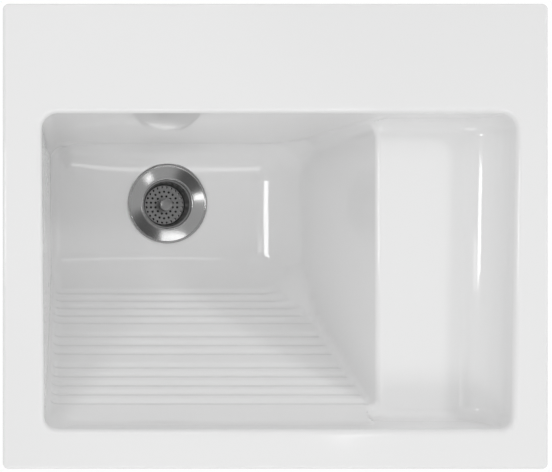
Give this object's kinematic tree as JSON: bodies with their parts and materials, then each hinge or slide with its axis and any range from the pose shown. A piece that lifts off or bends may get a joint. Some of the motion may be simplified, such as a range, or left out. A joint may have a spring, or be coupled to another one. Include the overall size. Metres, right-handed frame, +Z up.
{
  "type": "drop-in laundry sink",
  "caption": "Gloss white drop-in laundry sink with a deep basin, a ribbed washboard front, a shallow side shelf, a wide tap deck and a lift-out basket strainer.",
  "frame": {"origin": "middle of the worktop cut-out, in the plane of the worktop's top face", "axes": "+X to the right and +Y to the back, as seen by someone standing at the sink; +Z up"},
  "size_m": [0.635, 0.542, 0.4705],
  "materials": {
    "gloss_white": "gloss white gel, smooth and hard",
    "laminate": "rolled glass-fibre laminate, matt",
    "board": "plywood, sealed",
    "foam": "closed-cell foam",
    "brass": "turned brass",
    "zinc": "zinc-plated steel",
    "polished_steel": "polished stainless steel",
    "basket_steel": "pressed stainless steel",
    "black_rubber": "black rubber",
    "fibre": "pressed fibre",
    "white_nylon": "white nylon",
    "nut_metal": "die-cast metal, dull",
    "chrome_tube": "chromed tube"
  },
  "bodies": {
    "sink": {"sink_skin": "gloss_white", "backing_laminate": "laminate", "tap_deck_board": "board", "rim_seal": "foam", "clip_blocks": "board", "clip_inserts": "brass", "clip_screws": "zinc", "clip_washers": "zinc", "strainer_body": "polished_steel", "flange_seal": "foam", "under_washer": "black_rubber", "friction_ring": "fibre", "lock_nut": "nut_metal", "tail_washer": "white_nylon", "tailpiece": "chrome_tube", "coupling_nut": "nut_metal"},
    "clip_back_left": {"clip_back_left": "zinc"},
    "clip_back_right": {"clip_back_right": "zinc"},
    "clip_front_left": {"clip_front_left": "zinc"},
    "clip_front_right": {"clip_front_right": "zinc"},
    "clip_left": {"clip_left": "zinc"},
    "clip_right": {"clip_right": "zinc"},
    "basket_stem": {"basket_post": "polished_steel", "basket_stopper": "black_rubber", "stopper_clip": "zinc"},
    "basket_cup": {"basket_cup": "basket_steel"}
  },
  "joints": [
    {"name": "clip_back_left_swing", "type": "hinge", "parent": "sink", "child": "clip_back_left", "pos_m": [-0.17, 0.252, -0.034], "axis": [0, 0, 1], "range_deg": [0, 90]},
    {"name": "clip_back_right_swing", "type": "hinge", "parent": "sink", "child": "clip_back_right", "pos_m": [0.17, 0.252, -0.034], "axis": [0, 0, 1], "range_deg": [0, 90]},
    {"name": "clip_front_left_swing", "type": "hinge", "parent": "sink", "child": "clip_front_left", "pos_m": [-0.17, -0.252, -0.034], "axis": [0, 0, 1], "range_deg": [0, 90]},
    {"name": "clip_front_right_swing", "type": "hinge", "parent": "sink", "child": "clip_front_right", "pos_m": [0.17, -0.252, -0.034], "axis": [0, 0, 1], "range_deg": [0, 90]},
    {"name": "clip_left_swing", "type": "hinge", "parent": "sink", "child": "clip_left", "pos_m": [-0.2985, -0.04, -0.034], "axis": [0, 0, 1], "range_deg": [0, 90]},
    {"name": "clip_right_swing", "type": "hinge", "parent": "sink", "child": "clip_right", "pos_m": [0.2985, -0.04, -0.034], "axis": [0, 0, 1], "range_deg": [0, 90]},
    {"name": "basket_lift", "type": "slide", "parent": "sink", "child": "basket_stem", "axis": [0, 0, 1], "range_m": [0, 0.12]},
    {"name": "basket_turn", "type": "hinge", "parent": "basket_stem", "child": "basket_cup", "pos_m": [-0.096, 0.048, -0.3256], "axis": [0, 0, 1], "continuous": true}
  ]
}
